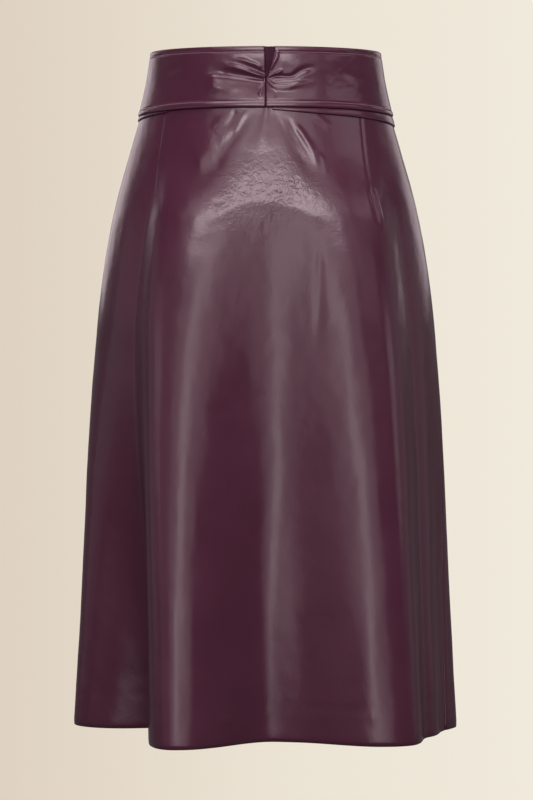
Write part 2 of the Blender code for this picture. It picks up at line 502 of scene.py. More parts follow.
@dataclass(frozen=True)
class Crease:
    """One soft ridge, trough or lap in the cloth.

    The route is in millimetres on the flat cloth: round from the piece's zero, and height. The
    width is the half-width, in millimetres, at the start and at the end of the route, and fade
    is the share of the route over which the crease rises at its start and dies at its end.
    """

    name: str
    profile: Profile
    route: tuple[tuple[float, float], ...]
    depth: float
    width: tuple[float, float]
    fade: tuple[float, float] = (0.25, 0.4)

    def relief(self, across: np.ndarray, height: np.ndarray) -> np.ndarray:
        """Works out how far this crease moves the cloth.

        Args:
            across: distances round the cloth, in metres.
            height: heights, in metres.

        Returns:
            Distances in metres, positive outwards.
        """
        line = smooth_route(np.array(self.route, float) * MM, steps=5)
        reach = 3.0 * max(self.width) * MM
        low, high = line.min(axis=0) - reach, line.max(axis=0) + reach
        near = (across > low[0]) & (across < high[0]) & (height > low[1]) & (height < high[1])
        result = np.zeros_like(across)
        if not near.any():
            return result
        spots = np.stack([across[near], height[near]], axis=-1)
        start, run = line[:-1], np.diff(line, axis=0)
        length = np.linalg.norm(run, axis=1)
        offset = spots[:, None, :] - start[None]
        share = np.clip((offset * run).sum(-1) / length ** 2, 0.0, 1.0)
        away = offset - share[..., None] * run
        distance = np.linalg.norm(away, axis=-1)
        nearest = distance.argmin(axis=1)
        pick = np.arange(len(spots)), nearest
        done = np.concatenate([[0.0], np.cumsum(length)])
        along = (done[nearest] + share[pick] * length[nearest]) / done[-1]
        side = np.sign(run[nearest, 0] * away[pick][:, 1] - run[nearest, 1] * away[pick][:, 0])
        width = (self.width[0] + (self.width[1] - self.width[0]) * along) * MM
        scaled = distance[pick] / width
        strength = self.depth * MM * np.ones_like(along)
        if self.fade[0] > 0.0:
            strength = strength * smooth_step(along / self.fade[0])
        if self.fade[1] > 0.0:
            strength = strength * smooth_step((1.0 - along) / self.fade[1])
        if self.profile is Profile.LAP:
            shape = side * scaled * np.exp(0.5 - 0.5 * scaled ** 2)
        else:
            shape = np.exp(-scaled ** 2) * (1.0 if self.profile is Profile.RIDGE else -1.0)
        result[near] = strength * shape
        return result


def total_relief(creases: tuple[Crease, ...], across: np.ndarray, height: np.ndarray) -> np.ndarray:
    """Adds up the relief of several creases.

    Args:
        creases: the creases.
        across: distances round the cloth, in metres.
        height: heights, in metres.

    Returns:
        Distances in metres, positive outwards.
    """
    result = np.zeros_like(across)
    for crease in creases:
        result += crease.relief(across, height)
    return result


# ---- Finishes ------------------------------------------------------------------------


@dataclass(frozen=True)
class CoatedLeather:
    """Polyurethane-coated leather, dyed plum and pressed smooth.

    The coat gives a soft satin gloss over a deep red-violet, with a barely raised grain, faint
    cloudy changes of shade, a slight ripple that breaks up the light, and fine creasing where
    the cloth has been strained.
    """

    name: str = "polyurethane_coated_leather"
    shade_low: str = "3b1a2a"
    shade_high: str = "441f31"
    grain_mm: float = 1.6            # real grain is about 0.5 mm, drawn coarser so that it shows
    grain_height_mm: float = 0.12
    ripple_mm: float = 16.0          # the cloth's own unevenness under the coat
    ripple_height_mm: float = 0.5
    strain_mm: float = 7.0           # the mesh of creases in strained coating
    strain_height_mm: float = 0.15
    cloud_mm: float = 60.0           # uneven take-up of the dye
    roughness: tuple[float, float] = (0.19, 0.27)
    index: float = 1.5

    def material(self) -> bpy.types.Material:
        """Builds the material.

        Returns:
            The coated leather, on Object coordinates and the cloth's own strain attribute.
        """
        material, tree, place = new_material(self.name)
        cloud = add_node(
            tree, "ShaderNodeTexNoise",
            {"Scale": 1.0 / (self.cloud_mm * MM), "Detail": 3.0, "Roughness": 0.55},
            {"Vector": place},
        ).outputs["Fac"]
        shade = add_node(tree, "ShaderNodeMix", {"data_type": "RGBA"}, {"Factor": cloud})
        shade.inputs[6].default_value = linear(self.shade_low)
        shade.inputs[7].default_value = linear(self.shade_high)
        rough = add_node(
            tree, "ShaderNodeMapRange",
            {"From Min": 0.3, "From Max": 0.7,
             "To Min": self.roughness[0], "To Max": self.roughness[1]},
            {"Value": cloud},
        ).outputs["Result"]
        grain = add_node(
            tree, "ShaderNodeTexVoronoi",
            {"feature": "SMOOTH_F1", "Scale": 1.0 / (self.grain_mm * MM), "Smoothness": 0.6},
            {"Vector": place},
        ).outputs["Distance"]
        grained = add_node(
            tree, "ShaderNodeBump",
            {"Strength": 0.10, "Distance": self.grain_height_mm * MM}, {"Height": grain},
        ).outputs["Normal"]
        ripple = add_node(
            tree, "ShaderNodeTexNoise",
            {"Scale": 1.0 / (self.ripple_mm * MM), "Detail": 4.0, "Roughness": 0.6},
            {"Vector": place},
        ).outputs["Fac"]
        rippled = add_node(
            tree, "ShaderNodeBump",
            {"Strength": 0.5, "Distance": self.ripple_height_mm * MM},
            {"Height": ripple, "Normal": grained},
        ).outputs["Normal"]
        strain = add_node(tree, "ShaderNodeAttribute", {"attribute_name": "strain"}).outputs["Fac"]
        veins = add_node(
            tree, "ShaderNodeTexNoise",
            {"noise_type": "RIDGED_MULTIFRACTAL", "Scale": 1.0 / (self.strain_mm * MM),
             "Detail": 3.0, "Roughness": 0.6, "Offset": 0.9, "Gain": 1.4, "Distortion": 0.6},
            {"Vector": place},
        ).outputs["Fac"]
        strained = add_node(
            tree, "ShaderNodeBump",
            {"Distance": self.strain_height_mm * MM},
            {"Strength": strain, "Height": veins, "Normal": rippled},
        ).outputs["Normal"]
        add_shader(
            tree, "ShaderNodeBsdfPrincipled",
            {"IOR": self.index, "Metallic": 0.0},
            {"Base Color": shade.outputs[2], "Roughness": rough, "Normal": strained},
        )
        return material


@dataclass(frozen=True)
class KnittedBacking:
    """The brushed polyester backing of coated leather, which is its matt inner side.

    A fine knit with no gloss, a shade greyer than the coat.
    """

    name: str = "knitted_polyester_backing"
    colour: str = "3a2630"
    loop_mm: float = 1.2             # real loops are about 0.6 mm, drawn coarser so that they show
    roughness: float = 0.9

    def material(self) -> bpy.types.Material:
        """Builds the material.

        Returns:
            The backing, on Object coordinates.
        """
        material, tree, place = new_material(self.name)
        loops = add_node(
            tree, "ShaderNodeTexVoronoi",
            {"Scale": 1.0 / (self.loop_mm * MM)}, {"Vector": place},
        ).outputs["Distance"]
        bump = add_node(
            tree, "ShaderNodeBump", {"Strength": 0.4, "Distance": 0.2 * MM}, {"Height": loops},
        ).outputs["Normal"]
        add_shader(
            tree, "ShaderNodeBsdfPrincipled",
            {"Base Color": linear(self.colour), "Roughness": self.roughness, "Sheen Weight": 0.15},
            {"Normal": bump},
        )
        return material


@dataclass(frozen=True)
class PolyesterThread:
    """Spun polyester sewing thread, twisted, with a slight sheen, its tonal plum painted lighter as
    painted highlight.
    """

    name: str = "spun_polyester_thread_painted_highlight"
    # the thread's own plum, painted much lighter as painted highlight for the glints on the
    # stitches
    colour: str = "947080"
    twist_mm: float = 0.7            # one turn of the strands
    band_spacing: float = 0.35       # how far apart a wave's diagonal bands are at scale 1
    roughness: float = 0.5

    def material(self) -> bpy.types.Material:
        """Builds the material.

        Returns:
            The thread, with its twist as a wave on Object coordinates.
        """
        material, tree, place = new_material(self.name)
        twist = add_node(
            tree, "ShaderNodeTexWave",
            {"bands_direction": "DIAGONAL", "Scale": self.band_spacing / (self.twist_mm * MM)},
            {"Vector": place},
        ).outputs["Fac"]
        bump = add_node(
            tree, "ShaderNodeBump", {"Strength": 0.3, "Distance": 0.05 * MM}, {"Height": twist},
        ).outputs["Normal"]
        add_shader(
            tree, "ShaderNodeBsdfPrincipled",
            {"Base Color": linear(self.colour), "Roughness": self.roughness, "Sheen Weight": 0.1},
            {"Normal": bump},
        )
        return material


@dataclass(frozen=True)
class Wardrobe:
    """The materials that the pieces are dressed in."""

    leather: bpy.types.Material
    painted_shade_underlap: bpy.types.Material
    backing: bpy.types.Material
    thread: bpy.types.Material

    @classmethod
    def stock(cls) -> "Wardrobe":
        """Makes one of each material. The underlap's is duller, and painted darker as painted shade
        for the slit.
        """
        # painted shade: the underlap's leather is a darker copy of the coat, standing in for the
        # shade in the slit
        painted_shade_underlap = CoatedLeather(
            name="underlap_leather_painted_shade", shade_low="2e1322", shade_high="341626",
            roughness=(0.5, 0.6), index=1.2,
        )
        finishes = CoatedLeather(), painted_shade_underlap, KnittedBacking(), PolyesterThread()
        return cls(*(finish.material() for finish in finishes))


# ---- Cloth pieces --------------------------------------------------------------------


@dataclass(frozen=True)
class CutPiece:
    """One cut piece of cloth: a thin shell over the form, with its relief."""

    name: str
    node: str
    grid: ClothGrid
    relief: np.ndarray
    lift: float
    wall: float
    strain: np.ndarray | None = None

    def surface(self, form: SkirtForm) -> np.ndarray:
        """Works out the piece's outer side.

        Args:
            form: the form that it lies on.

        Returns:
            An array of points, one for each corner of the grid.
        """
        point = form.point(self.grid.angle, self.grid.height)
        normal = form.normal(self.grid.angle, self.grid.height)
        return point + normal * (self.lift + self.relief)[..., None]

    def build(
        self, form: SkirtForm, wardrobe: Wardrobe, outside: bpy.types.Material,
    ) -> bpy.types.Object:
        """Makes the piece's object.

        Args:
            form: the form that it lies on.
            wardrobe: where its inner side's material comes from.
            outside: its outer side's material.

        Returns:
            The object, with a wall and the attribute that its material reads.
        """
        rows, columns = (count - 1 for count in self.grid.angle.shape)
        mesh = bpy.data.meshes.new(self.name)
        sheet = bmesh.new()
        bmesh.ops.create_grid(sheet, x_segments=columns, y_segments=rows, size=1.0)
        bmesh.ops.reverse_faces(sheet, faces=sheet.faces[:])
        sheet.to_mesh(mesh)
        sheet.free()
        flat = np.zeros(len(mesh.vertices) * 3)
        mesh.vertices.foreach_get("co", flat)
        spots = flat.reshape(-1, 3)
        column = np.rint((spots[:, 0] + 1.0) / 2.0 * columns).astype(int)
        row = np.rint((spots[:, 1] + 1.0) / 2.0 * rows).astype(int)
        mesh.vertices.foreach_set("co", self.surface(form)[row, column].ravel())
        strain = np.zeros_like(self.relief) if self.strain is None else self.strain
        attribute = mesh.attributes.new("strain", "FLOAT", "POINT")
        attribute.data.foreach_set("value", strain[row, column].astype(np.float32))
        mesh.update()
        mesh.shade_smooth()
        mesh.materials.append(outside)
        mesh.materials.append(wardrobe.backing)
        piece = add_object(self.name, mesh)
        thicken = piece.modifiers.new("wall", "SOLIDIFY")
        thicken.thickness = self.wall
        thicken.offset = -1.0
        thicken.material_offset = 1
        thicken.material_offset_rim = 0
        return piece

    def declare(
        self, piece: bpy.types.Object, form: SkirtForm, slot: str, held_by: tuple[str, ...],
    ) -> None:
        """Joins the piece to the frame and says what it was cut from.

        Args:
            piece: the piece's object.
            form: the form that it lies on.
            slot: the record's material slot; not used.
            held_by: the CAD nodes that it hangs from, none where the wearer holds it; not used.
        """
        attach(piece, BODY)
        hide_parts(self.node)
        points = form.point(self.grid.angle, self.grid.height)
        down = np.linalg.norm(np.diff(points, axis=0), axis=-1)
        wide = np.linalg.norm(np.diff(points, axis=1), axis=-1)
        area = float(((down[:, 1:] + down[:, :-1]) / 2 * (wide[1:] + wide[:-1]) / 2).sum())
        width = max(float(wide.sum(axis=1).max()), SMALLEST_CUT)
        length = max(float(down.sum(axis=0).max()), SMALLEST_CUT)
        area = max(area, LEAST_AREA_SHARE * width * length)
        size = width / MM, length / MM
        log.info("%s: cut %.0f x %.0f mm, %.4f m2", piece.name, *size, area)


def rolled_edge(distance: np.ndarray, reach: float, drop: float) -> np.ndarray:
    """Turns a cut edge in, as a seam or a folded edge does.

    Args:
        distance: how far each corner is from the edge, in metres.
        reach: how far in from the edge the roll starts, in metres.
        drop: how far the edge sinks, in metres.

    Returns:
        Distances in metres, negative near the edge.
    """
    fullness = 0.98                  # just under 1, so that the roll never stands upright
    near = np.clip(1.0 - distance / reach, 0.0, 1.0)
    return -drop * (1.0 - np.sqrt(1.0 - fullness * near ** 2))


def sewn_line(distance: np.ndarray, from_edge: float, groove: float, puff: float) -> np.ndarray:
    """Shapes a line of topstitching beside a folded edge.

    Args:
        distance: how far each corner is from the edge, in metres.
        from_edge: how far the stitches are from the edge, in metres.
        groove: how deep the thread pulls the cloth in, in metres.
        puff: how far the folded cloth swells between the edge and the stitches, in metres.

    Returns:
        Distances in metres, positive outwards.
    """
    groove_width = 0.9 * MM
    sunk = -groove * np.exp(-((distance - from_edge) / groove_width) ** 2)
    swell = puff * np.sin(math.pi * np.clip(distance / from_edge, 0.0, 1.0))
    return sunk + swell


@dataclass(frozen=True)
class StrainedPatch:
    """A small patch of strained cloth, placed and sized in millimetres on the flat cloth."""

    across: float
    height: float
    half_width: float
    half_height: float
    strength: float = 0.6

    def share(self, across: np.ndarray, height: np.ndarray) -> np.ndarray:
        """Returns how strained the cloth is, most at the middle of the patch."""
        aside = (across - self.across * MM) / (self.half_width * MM)
        level = (height - self.height * MM) / (self.half_height * MM)
        return self.strength * np.exp(-aside ** 2 - level ** 2)


@dataclass(frozen=True)
class StrainedCrown:
    """The strained cloth over the seat, in millimetres: a level band that narrows upwards."""

    height: float = -120.0
    half_height: float = 40.0
    half_width: float = 74.0
    least_half_width: float = 20.0
    narrows_from: float = -125.0
    narrowing: float = 0.85

    def share(self, across: np.ndarray, height: np.ndarray) -> np.ndarray:
        """Returns how strained the cloth is, from 0 to 1."""
        level = (height - self.height * MM) / (self.half_height * MM)
        above = np.maximum(height - self.narrows_from * MM, 0.0)
        half_width = self.half_width * MM - self.narrowing * above
        aside = across / np.maximum(half_width, self.least_half_width * MM)
        return np.exp(-level ** 2 - aside ** 4)


@dataclass
class SkirtPanels:
    """The back panel and the front panel, from behind the waistband to the hem."""

    form: SkirtForm
    wall: float = 1.5 * MM
    seam_gap: float = 0.05 * MM
    row_crowding: float = 1.45       # 1 spaces the rows evenly, and more crowds them at the waist
    back_faces: tuple[int, int] = (240, 205)
    front_faces: tuple[int, int] = (190, 150)
    hem_turn: float = 38.0 * MM
    hem_groove: float = 0.26 * MM
    hem_groove_width: float = 1.6 * MM
    hem_ruffle: Lumps = Lumps(0.22, 45.0, 3.7)
    seam_swell: float = 0.22 * MM    # where the seam's own layers lie under the cloth
    seam_swell_at: float = 6.0 * MM
    seam_swell_width: float = 3.5 * MM
    lumps: tuple[Lumps, ...] = (Lumps(0.40, 30.0, 1.3, 0.45), Lumps(0.14, 12.0, 5.1, 0.7))
    strained: tuple[StrainedCrown | StrainedPatch, ...] = (
        StrainedCrown(),
        StrainedPatch(57.0, -56.0, 14.0, 18.0),
        StrainedPatch(-44.0, -68.0, 12.0, 22.0),
    )
    strain_lumps: Lumps = Lumps(0.16, 6.5, 8.9)
    patchiness: float = 17.0 * MM
    patch_seed: float = 7.7
    left_side: Seam = Seam(90.0, 98.0)
    right_side: Seam = Seam(-88.0, -76.0)
    creases: tuple[Crease, ...] = (
        Crease("centre_ray", Profile.RIDGE,
               ((-1, -30), (1.3, -47), (3.5, -63), (4, -82)), 0.8, (2, 9), (0, 0.5)),
        Crease("left_ray", Profile.TROUGH,
               ((12, -30), (20, -40), (32, -57), (46, -77), (66, -104), (76, -120)), 1.0, (4, 11),
               (0.4, 0.45)),
        Crease("right_ray", Profile.TROUGH,
               ((-6, -31), (-15, -42), (-26, -58), (-37, -79), (-50, -99), (-66, -120)),
               1.2, (3, 10), (0.45, 0.45)),
        Crease("left_spot", Profile.RIDGE,
               ((20, -32), (26, -42), (31, -52), (36, -62)), 0.6, (2, 3)),
        Crease("left_spot_side", Profile.TROUGH, ((31, -31), (37, -43), (44, -56)), 0.6, (3, 4)),
        Crease("left_swell", Profile.RIDGE,
               ((40, -33), (49, -46), (60, -62), (70, -80)), 0.6, (6, 10)),
        Crease("left_outer_swell", Profile.RIDGE,
               ((52, -80), (64, -82), (82, -88)), 1.1, (11, 13), (0.2, 0.3)),
        Crease("right_streak_1", Profile.RIDGE,
               ((-13, -34), (-20.8, -50), (-28.7, -66), (-44, -87)), 0.35, (2, 3)),
        Crease("right_between", Profile.TROUGH,
               ((-22, -38), (-33, -56), (-44, -74), (-53, -90)), 0.7, (2.5, 3)),
        Crease("right_streak_2", Profile.RIDGE,
               ((-30, -44), (-42, -62), (-52, -79), (-59, -98)), 1.4, (2.5, 4)),
        Crease("right_streak_3", Profile.RIDGE, ((-58, -78), (-64, -88), (-66, -104)), 0.6, (2, 3)),
        Crease("right_streak_4", Profile.RIDGE,
               ((-53, -36), (-66.8, -46), (-79, -58)), 0.8, (3, 4)),
        Crease("crown_lip", Profile.RIDGE,
               ((68, -153), (54, -149), (38, -139), (26, -135), (7, -133), (-13, -135),
                (-35, -142), (-50, -148), (-70, -151)), 0.40, (6, 6), (0.15, 0.15)),
        Crease("crown_arc", Profile.TROUGH,
               ((20, -108), (22.2, -118), (30, -125)), 0.5, (1.3, 1.3)),
        Crease("crown_left_crinkle", Profile.TROUGH,
               ((44, -128), (50, -134), (60, -132)), 0.35, (1.5, 1.5)),
        Crease("crown_right_crinkle", Profile.TROUGH,
               ((-34, -118), (-40, -128), (-52, -131)), 0.35, (1.5, 1.5)),
        Crease("crown_low_crinkle", Profile.TROUGH,
               ((1, -152), (2, -160), (1.5, -168)), 0.3, (1.6, 1.6)),
        Crease("right_short_crease", Profile.TROUGH,
               ((-58, -172), (-59, -212), (-58, -252), (-55, -300)), 0.65, (3.5, 7)),
        Crease("middle_dent", Profile.TROUGH, ((18, -339), (-10, -341), (-40, -338)), 0.3, (4, 5)),
        Crease("left_dent", Profile.TROUGH, ((66, -355), (45, -357), (27, -354)), 0.3, (4, 5)),
        Crease("middle_flat", Profile.RIDGE,
               ((-14, -430), (-17, -520), (-19, -620), (-20, -735)), 4.0, (19, 28), (0.6, 0)),
        Crease("left_crest_flat", Profile.TROUGH,
               ((99, -500), (102, -580), (105, -655), (108, -735)), 0.55, (8, 9), (0.4, 0)),
        Crease("right_crest_line", Profile.RIDGE,
               ((-112, -540), (-116, -620), (-119, -735)), 0.8, (12, 14), (0.4, 0)),
        Crease("hem_wrinkle", Profile.RIDGE, ((65, -698), (55, -693), (45, -688)), 0.8, (2.5, 2.5)),
        Crease("hem_mark", Profile.RIDGE,
               ((-119, -682), (-122, -690), (-124, -697)), 0.6, (2.5, 2.5)),
        Crease("left_dart", Profile.TROUGH,
               ((122, -25), (127, -63), (133, -102), (136, -130)), 1.2, (1.4, 1.6), (0, 0.3)),
        Crease("right_dart", Profile.TROUGH,
               ((-112, -25), (-115, -69), (-118.5, -104), (-122, -122)), 0.75, (1.2, 1.4),
               (0, 0.2)),
        Crease("right_dimple", Profile.TROUGH,
               ((-119, -112), (-124, -134), (-130, -164)), 1.6, (3.5, 5)),
        Crease("right_dimple_lip", Profile.RIDGE,
               ((-123, -112), (-130, -136), (-137, -164)), 1.4, (1.9, 2.6)),
    )
    front_creases: tuple[Crease, ...] = (
        Crease("front_left_ray", Profile.TROUGH,
               ((92, -28), (80, -58), (62, -92), (50, -120)), 0.9, (3, 7), (0.1, 0.6)),
        Crease("front_left_swell", Profile.RIDGE, ((60, -34), (54, -58), (40, -86)), 0.6, (3, 5)),
        Crease("front_right_ray", Profile.TROUGH,
               ((-88, -30), (-78, -66), (-60, -104)), 0.9, (3, 7), (0.1, 0.6)),
        Crease("front_right_swell", Profile.RIDGE,
               ((-52, -32), (-50, -60), (-34, -92)), 0.6, (3, 5)),
        Crease("front_middle_dent", Profile.TROUGH,
               ((30, -310), (2, -314), (-24, -308)), 0.3, (4, 5)),
        Crease("front_low_dent", Profile.TROUGH,
               ((-60, -420), (-84, -424), (-108, -418)), 0.3, (4, 5)),
        Crease("front_hem_wrinkle", Profile.RIDGE,
               ((-64, -694), (-52, -689), (-40, -686)), 0.6, (2, 2)),
    )

    def levels(self, rows: int) -> np.ndarray:
        """Returns the rows' heights, from the hem up, closer together towards the waist."""
        share = np.linspace(1.0, 0.0, rows + 1)
        fall = self.form.hem - self.form.panel_top
        return self.form.panel_top + fall * share ** self.row_crowding

    def panel(
        self,
        name: str,
        node: str,
        seams: tuple[Seam, Seam],
        turn: float,
        faces: tuple[int, int],
        creases: tuple[Crease, ...],
        zero: float,
    ) -> CutPiece:
        """Shapes one panel between two seams.

        Args:
            name: the piece's name.
            node: the CAD node that it stands for.
            seams: the seams where its columns start and end.
            turn: how many degrees to add to the last seam's angle.
            faces: how many faces round, and how many down.
            creases: the creases that may cross it.
            zero: the angle that distances round the cloth are measured from.

        Returns:
            The panel.
        """
        form = self.form
        first, last = seams
        columns, rows = faces
        half = self.seam_gap / 2
        grid = form.grid(
            self.levels(rows),
            lambda z: form.seam_angle(first, z),
            lambda z: form.seam_angle(last, z) + turn,
            columns, lambda z: (half, half), zero,
        )
        relief = total_relief(creases, grid.across, grid.height)
        for edge in (grid.from_first, grid.from_last):
            relief += rolled_edge(edge, reach=2.2 * MM, drop=0.9 * MM)
            swell = (edge - self.seam_swell_at) / self.seam_swell_width
            relief += self.seam_swell * np.exp(-swell ** 2)
        above_hem = grid.height - form.hem
        relief += rolled_edge(above_hem, reach=1.5 * MM, drop=0.5 * MM)
        turned = (above_hem - self.hem_turn) / self.hem_groove_width
        groove = self.hem_groove + self.hem_ruffle.relief(grid.across, grid.height)
        relief -= groove * np.exp(-turned ** 2)
        for lumps in self.lumps:
            relief += lumps.relief(grid.across, grid.height)
        strain = self.strain(grid, zero)
        relief += strain * self.strain_lumps.relief(grid.across, grid.height)
        return CutPiece(name, node, grid, relief, 0.0, self.wall, strain)

    def strain(self, grid: ClothGrid, zero: float) -> np.ndarray:
        """Marks where the cloth has been strained over the seat.

        Args:
            grid: the panel's grid.
            zero: the angle that its distances are measured from.

        Returns:
            A share from 0 to 1 for each corner.
        """
        if zero != CENTRE_BACK:
            return np.zeros_like(grid.across)
        total = sum(area.share(grid.across, grid.height) for area in self.strained)
        patchy = 0.75 + 0.5 * unevenness(grid.across, grid.height, self.patchiness, self.patch_seed)
        return np.clip(total * patchy, 0.0, 1.0)

    def build(self, wardrobe: Wardrobe) -> list[bpy.types.Object]:
        """Makes the two panels and joins them to the frame.

        Args:
            wardrobe: the materials.

        Returns:
            The panels' objects.
        """
        pieces = [
            self.panel(
                "back_panel", "back", (self.right_side, self.left_side), 0.0,
                self.back_faces, self.creases, CENTRE_BACK,
            ),
            self.panel(
                "front_panel", "front", (self.left_side, self.right_side), FULL_TURN,
                self.front_faces, self.front_creases, CENTRE_FRONT,
            ),
        ]
        held_by = {
            "back": ("waistband_back_left", "waistband_back_right"),
            "front": ("waistband_front",),
        }
        objects = []
        for piece in pieces:
            made = piece.build(self.form, wardrobe, wardrobe.leather)
            piece.declare(made, self.form, "shell_leather", held_by[piece.node])
            objects.append(made)
        return objects


@dataclass
class Waistband:
    """The three waistband pieces, with a slit above the pinch at the centre back."""

    form: SkirtForm
    top: float
    bottom: float = -30.0 * MM
    side_drop: float = 4.5 * MM
    wall: float = 2.0 * MM
    lift: float = 2.6 * MM
    seam_gap: float = 0.1 * MM
    back_faces: tuple[int, int] = (190, 72)
    front_faces: tuple[int, int] = (250, 48)
    stitch_inset: float = 6.5 * MM
    stitch_groove: float = 0.80 * MM
    calm_reach: float = 8.5 * MM     # how far from its long edges the creases die away
    top_puff: float = 0.20 * MM
    bottom_puff: float = 0.60 * MM
    lumps: tuple[Lumps, ...] = (Lumps(0.22, 24.0, 2.2, 1.6), Lumps(0.08, 7.0, 6.6, 1.4))
    left_side: float = 90.0
    right_side: float = -88.0
    slit_heights: tuple[float, ...] = (0.002, 0.006, 0.014, 0.021, 0.030, 0.037)
    slit_left: tuple[float, ...] = (0.0, 0.0001, 0.0002, 0.0003, 0.0005, 0.0010)
    slit_right: tuple[float, ...] = (0.0, 0.0022, 0.0043, 0.0063, 0.0088, 0.0094)
    creases: tuple[Crease, ...] = (
        Crease("left_sharp_fold", Profile.RIDGE,
               ((0.6, 2), (7.3, 5), (14, 7.5), (20.2, 10), (27.5, 12.5), (38, 15), (54, 19)),
               2.0, (1.8, 4.0), (0, 0.5)),
        Crease("left_upper_fold", Profile.RIDGE,
               ((3.5, 13), (10.1, 17), (16.8, 19), (22.3, 21), (29.5, 22), (42, 22)),
               1.1, (1.6, 2.6), (0.1, 0.5)),
        Crease("left_between", Profile.TROUGH,
               ((2, 8), (12, 12), (22, 15.5), (34, 18)), 0.9, (1.6, 2.4), (0, 0.5)),
        Crease("left_long_trough", Profile.TROUGH,
               ((0.4, 1.5), (9, 2), (20, 4), (33, 6), (49, 10), (62, 15)), 2.2, (2.2, 6.5),
               (0, 0.4)),
        Crease("left_shade", Profile.TROUGH, ((40, 6), (52, 9), (66, 14)), 0.5, (5, 6)),
        Crease("left_low_swell", Profile.RIDGE,
               ((14, -8), (34, -9), (52, -8), (66, -8)), 0.3, (4, 6), (0.3, 0.4)),
        Crease("left_patch", Profile.RIDGE,
               ((55, 8), (57, -4), (55, -15)), 1.3, (7, 7), (0.3, 0.3)),
        Crease("left_seam_ridge", Profile.RIDGE,
               ((0.6, 0), (1.9, -5), (5.3, -14), (6, -21)), 1.2, (1.4, 2.2), (0, 0.2)),
        Crease("right_slit_ridge", Profile.RIDGE,
               ((-13.0, 33), (-11.4, 24), (-8.2, 18), (-4.0, 10)), 1.1, (1.8, 1.5), (0.1, 0.2)),
        Crease("right_sharp_fold", Profile.RIDGE,
               ((-2.4, 2), (-9, 6), (-14.6, 9), (-20, 13)), 1.6, (1.4, 2.2), (0, 0.4)),
        Crease("right_broad_fold", Profile.RIDGE,
               ((-26, 16), (-40, 19), (-58, 21), (-90, 22)), 0.5, (4, 8), (0.55, 0.4)),
        Crease("right_long_trough", Profile.TROUGH,
               ((-1.4, 1), (-8.4, 4), (-14.7, 4.5), (-23.2, 4), (-30, 5), (-37.6, 10), (-46, 13),
                (-60, 16)), 2.4, (1.7, 3.6), (0, 0.5)),
        Crease("right_low_fold", Profile.RIDGE,
               ((-18, -0.5), (-29.6, 0), (-38.5, 3), (-45.6, 5), (-58, 8)), 0.4, (1.8, 3.2)),
        Crease("right_pocket", Profile.LAP,
               ((-4, -2.5), (-12, -4.5), (-20, -5), (-28, -4), (-38, -1)), 0.8, (2.0, 2.8),
               (0.15, 0.5)),
        Crease("right_curved_ridge", Profile.RIDGE,
               ((-1.6, 0), (-4.6, -4), (-8.6, -8), (-14.5, -9.5), (-23.2, -9), (-31.6, -6.5),
                (-41.7, -4), (-58, -1)), 1.4, (1.5, 4.0), (0, 0.5)),
        Crease("right_upright_line", Profile.TROUGH, ((-10.6, -12), (-10.8, -22)), 0.5, (1.2, 1.2)),
        Crease("left_side_dent", Profile.TROUGH, ((92, 14), (108, 6), (128, 2)), 0.6, (4, 6)),
        Crease("right_side_dent", Profile.TROUGH, ((-84, 12), (-104, 5), (-126, 3)), 0.6, (4, 6)),
    )
    front_creases: tuple[Crease, ...] = (
        Crease("front_left_fold", Profile.RIDGE, ((120, 12), (92, 8), (64, 9)), 0.7, (3, 4)),
        Crease("front_left_trough", Profile.TROUGH, ((110, 2), (86, 0), (58, 2)), 0.7, (3, 4)),
        Crease("front_right_fold", Profile.RIDGE, ((-124, 8), (-98, 3), (-72, 5)), 0.7, (3, 4)),
        Crease("front_right_trough", Profile.TROUGH,
               ((-116, -4), (-90, -8), (-60, -6)), 0.7, (3, 4)),
        Crease("front_middle_trough", Profile.TROUGH, ((26, 6), (4, 3), (-22, 5)), 0.4, (4, 4)),
    )

    def bottom_at(self, angle: np.ndarray) -> np.ndarray:
        """Returns the height of the lower edge at each angle."""
        return self.bottom - self.side_drop * np.sin(np.radians(angle)) ** 4

    def slit(self, sides: tuple[float, ...], height: float) -> float:
        """Returns how far a slit's edge stands from the centre back at a height."""
        return float(np.interp(height, self.slit_heights, sides))

    def piece(
        self,
        name: str,
        node: str,
        seams: tuple[float, float],
        faces: tuple[int, int],
        slits: tuple[tuple[float, ...] | None, tuple[float, ...] | None],
        creases: tuple[Crease, ...],
        zero: float,
    ) -> CutPiece:
        """Shapes one waistband piece between two seams.

        Args:
            name: the piece's name.
            node: the CAD node that it stands for.
            seams: the angles where its columns start and end.
            faces: how many faces round, and how many up.
            slits: the slit's edge at its first and at its last seam, or None.
            creases: the creases that may cross it.
            zero: the angle that distances round the cloth are measured from.

        Returns:
            The piece.
        """
        half = self.seam_gap / 2
        first, last = seams
        columns, rows = faces

        def gaps(height: float) -> tuple[float, float]:
            """Returns how far the piece stops short of each seam."""
            before, after = (half + (self.slit(sides, height) if sides else 0.0) for sides in slits)
            return before, after

        heights = np.linspace(self.bottom, self.top, rows + 1)
        level = self.form.grid(heights, lambda z: first, lambda z: last, columns, gaps, zero)
        share = (level.height - self.bottom) / (self.top - self.bottom)
        bottom = self.bottom_at(level.angle)
        height = bottom + (self.top - bottom) * share
        grid = ClothGrid(level.angle, height, level.across, level.from_first, level.from_last)
        relief = total_relief(creases, grid.across, grid.height)
        below_top, above_bottom = self.top - height, height - bottom
        calm = smooth_step(np.minimum(below_top, above_bottom) / self.calm_reach)
        relief *= calm
        relief += sewn_line(below_top, self.stitch_inset, self.stitch_groove, self.top_puff)
        relief += sewn_line(above_bottom, self.stitch_inset, self.stitch_groove, self.bottom_puff)
        relief += rolled_edge(below_top, reach=1.8 * MM, drop=1.1 * MM)
        relief += rolled_edge(above_bottom, reach=1.4 * MM, drop=0.9 * MM)
        for edge in (grid.from_first, grid.from_last):
            relief += rolled_edge(edge, reach=1.8 * MM, drop=1.0 * MM)
        for lumps in self.lumps:
            relief += calm * lumps.relief(grid.across, grid.height)
        return CutPiece(name, node, grid, relief, self.lift, self.wall)

